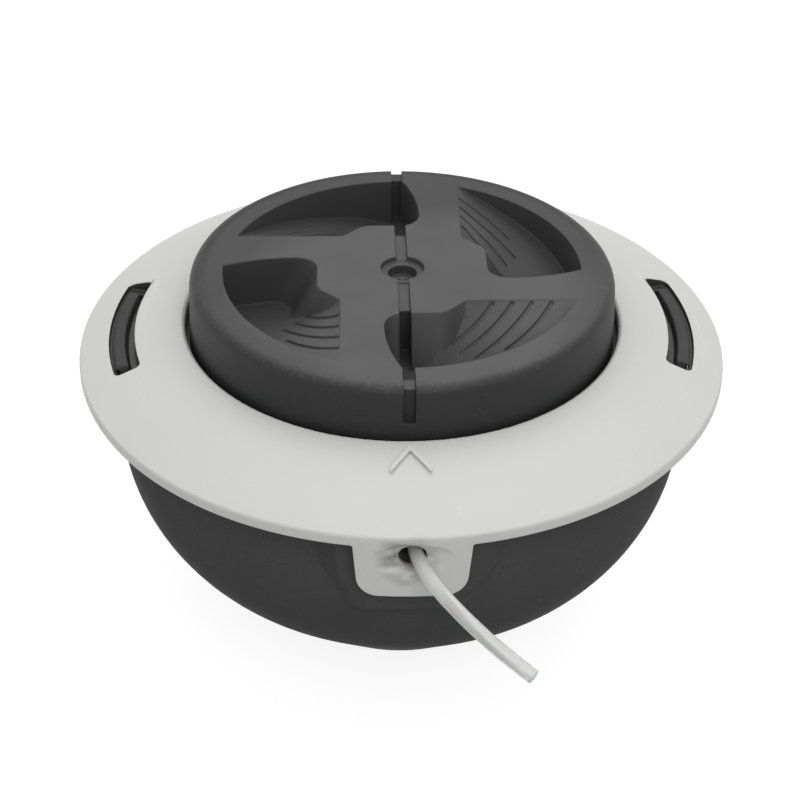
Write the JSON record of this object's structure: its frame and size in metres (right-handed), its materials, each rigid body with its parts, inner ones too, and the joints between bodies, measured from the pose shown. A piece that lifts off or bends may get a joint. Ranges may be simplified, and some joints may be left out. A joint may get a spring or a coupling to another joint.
{
  "type": "bump feed trimmer head",
  "caption": "Round bump feed line head: dark domed housing, pale clip-on cover ring with eyelet tabs, and a sprung knob with finger pockets that winds the spool inside.",
  "frame": {"origin": "centre of the foot, on the plane that the head stands on", "axes": "+Z along the axis of rotation, from the machine side towards the knob; the eyelet with the free line faces -Y; +X completes the right-handed frame"},
  "size_m": [0.1296, 0.1479, 0.079],
  "materials": {
    "housing_plastic": "moulded, fine satin grain",
    "ring_plastic": "moulded, satin",
    "knob_plastic": "moulded, fine spark grain",
    "spool_plastic": "moulded",
    "nylon": "drawn, translucent white",
    "steel": "zinc plated"
  },
  "bodies": {
    "housing": {"base_cup": "housing_plastic", "drive_nut": "steel", "cover_ring": "ring_plastic", "trimmer_line": "nylon", "bump_spring": "steel"},
    "thrust_carrier": {"thrust_washer": "steel"},
    "spool": {"line_spool": "spool_plastic", "upper_winding": "nylon", "lower_winding": "nylon", "bump_knob": "knob_plastic"}
  },
  "joints": [
    {"name": "bump", "type": "slide", "parent": "housing", "child": "thrust_carrier", "axis": [0, 0, -1], "range_m": [0, 0.007], "stiffness_N_per_m": 2000, "springref_m": -0.015, "deforming": ["bump_spring"]},
    {"name": "spool_turn", "type": "hinge", "parent": "thrust_carrier", "child": "spool", "pos_m": [0, 0, 0.0624], "axis": [0, 0, 1], "continuous": true}
  ]
}
